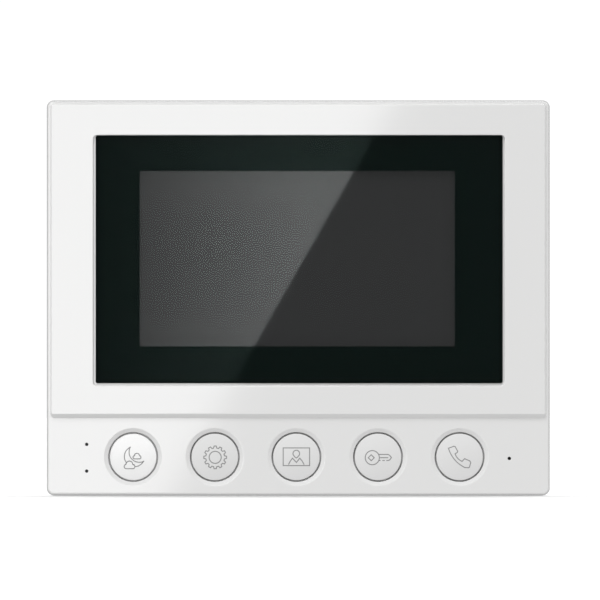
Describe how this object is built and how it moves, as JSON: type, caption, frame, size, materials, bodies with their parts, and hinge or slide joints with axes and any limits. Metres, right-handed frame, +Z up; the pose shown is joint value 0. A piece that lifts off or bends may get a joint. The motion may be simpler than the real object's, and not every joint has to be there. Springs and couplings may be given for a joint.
{
  "type": "video intercom monitor",
  "caption": "Wall-mounted video intercom monitor: white glossy housing in two shells, recessed black-bordered display, round push buttons below, steel hook-on wall bracket.",
  "frame": {"origin": "on the wall plane, at the back face of the wall bracket, behind the middle of the front cover", "axes": "+X to the right seen from the front, +Z up, +Y towards the wall; the display and the buttons face -Y"},
  "size_m": [0.1524, 0.021, 0.1196],
  "materials": {
    "housing_white": "glossy white moulded ABS",
    "key_white": "glossy white moulded ABS with thin grey printed icons",
    "window_acrylic": "clear polished acrylic",
    "mask_black": "black ink seen through the window",
    "tape_black": "black foam tape",
    "lcd_glass": "dark grey display surface, switched off",
    "pressed_steel": "bright pressed sheet",
    "backlight_white": "white light guide",
    "flex_amber": "amber flexible circuit",
    "board_green": "green solder mask",
    "ribbon_white": "white flat cable",
    "chip_black": "black moulded epoxy",
    "can_aluminium": "bright drawn can",
    "ferrite_grey": "dark grey ferrite",
    "socket_nylon": "natural nylon",
    "light_guide_clear": "smoked clear acrylic",
    "led_white": "small white diode",
    "boot_rubber": "black silicone",
    "gasket_foam": "black foam ring",
    "cone_paper": "black paper cone",
    "magnet_steel": "plated steel cup",
    "bracket_steel": "zinc-plated pressed sheet",
    "screw_steel": "zinc-plated screw",
    "switch_black": "black tactile switch",
    "plunger_black": "black plunger"
  },
  "bodies": {
    "bracket": {"wall_bracket": "bracket_steel"},
    "monitor": {"front_cover": "housing_white", "rear_cover": "housing_white", "display_window": "window_acrylic", "window_mask": "mask_black", "window_tape": "tape_black", "lcd_frame": "pressed_steel", "lcd_panel": "lcd_glass", "lcd_backlight": "backlight_white", "lcd_flex": "flex_amber", "main_board": "board_green", "key_board": "board_green", "board_link_cable": "ribbon_white", "processor_chip": "chip_black", "memory_chip": "chip_black", "audio_chip": "chip_black", "capacitor_1": "can_aluminium", "capacitor_2": "can_aluminium", "inductor": "ferrite_grey", "door_socket_1": "socket_nylon", "door_socket_2": "socket_nylon", "power_socket": "socket_nylon", "light_guide_upper": "light_guide_clear", "light_guide_lower": "light_guide_clear", "status_led_upper": "led_white", "status_led_lower": "led_white", "microphone_boot": "boot_rubber", "microphone": "can_aluminium", "speaker_gasket": "gasket_foam", "speaker_basket": "pressed_steel", "speaker_cone": "cone_paper", "speaker_magnet": "magnet_steel", "speaker_clamp": "pressed_steel", "do_not_disturb_switch": "switch_black", "settings_switch": "switch_black", "view_switch": "switch_black", "unlock_switch": "switch_black", "talk_switch": "switch_black", "case_screw_1": "screw_steel", "board_screw_1": "screw_steel", "case_screw_2": "screw_steel", "board_screw_2": "screw_steel", "case_screw_3": "screw_steel", "board_screw_3": "screw_steel", "case_screw_4": "screw_steel", "board_screw_4": "screw_steel", "key_board_screw_1": "screw_steel", "key_board_screw_2": "screw_steel"},
    "do_not_disturb_key": {"do_not_disturb_button": "key_white", "do_not_disturb_plunger": "plunger_black"},
    "settings_key": {"settings_button": "key_white", "settings_plunger": "plunger_black"},
    "view_key": {"view_button": "key_white", "view_plunger": "plunger_black"},
    "unlock_key": {"unlock_button": "key_white", "unlock_plunger": "plunger_black"},
    "talk_key": {"talk_button": "key_white", "talk_plunger": "plunger_black"}
  },
  "joints": [
    {"name": "lift_off", "type": "slide", "parent": "bracket", "child": "monitor", "axis": [0, 0, 1], "range_m": [0, 0.005]},
    {"name": "do_not_disturb_press", "type": "slide", "parent": "monitor", "child": "do_not_disturb_key", "axis": [0, 1, 0], "range_m": [0, 0.0005], "stiffness_N_per_m": 600, "springref_m": -0.002},
    {"name": "settings_press", "type": "slide", "parent": "monitor", "child": "settings_key", "axis": [0, 1, 0], "range_m": [0, 0.0005], "stiffness_N_per_m": 600, "springref_m": -0.002},
    {"name": "view_press", "type": "slide", "parent": "monitor", "child": "view_key", "axis": [0, 1, 0], "range_m": [0, 0.0005], "stiffness_N_per_m": 600, "springref_m": -0.002},
    {"name": "unlock_press", "type": "slide", "parent": "monitor", "child": "unlock_key", "axis": [0, 1, 0], "range_m": [0, 0.0005], "stiffness_N_per_m": 600, "springref_m": -0.002},
    {"name": "talk_press", "type": "slide", "parent": "monitor", "child": "talk_key", "axis": [0, 1, 0], "range_m": [0, 0.0005], "stiffness_N_per_m": 600, "springref_m": -0.002}
  ]
}
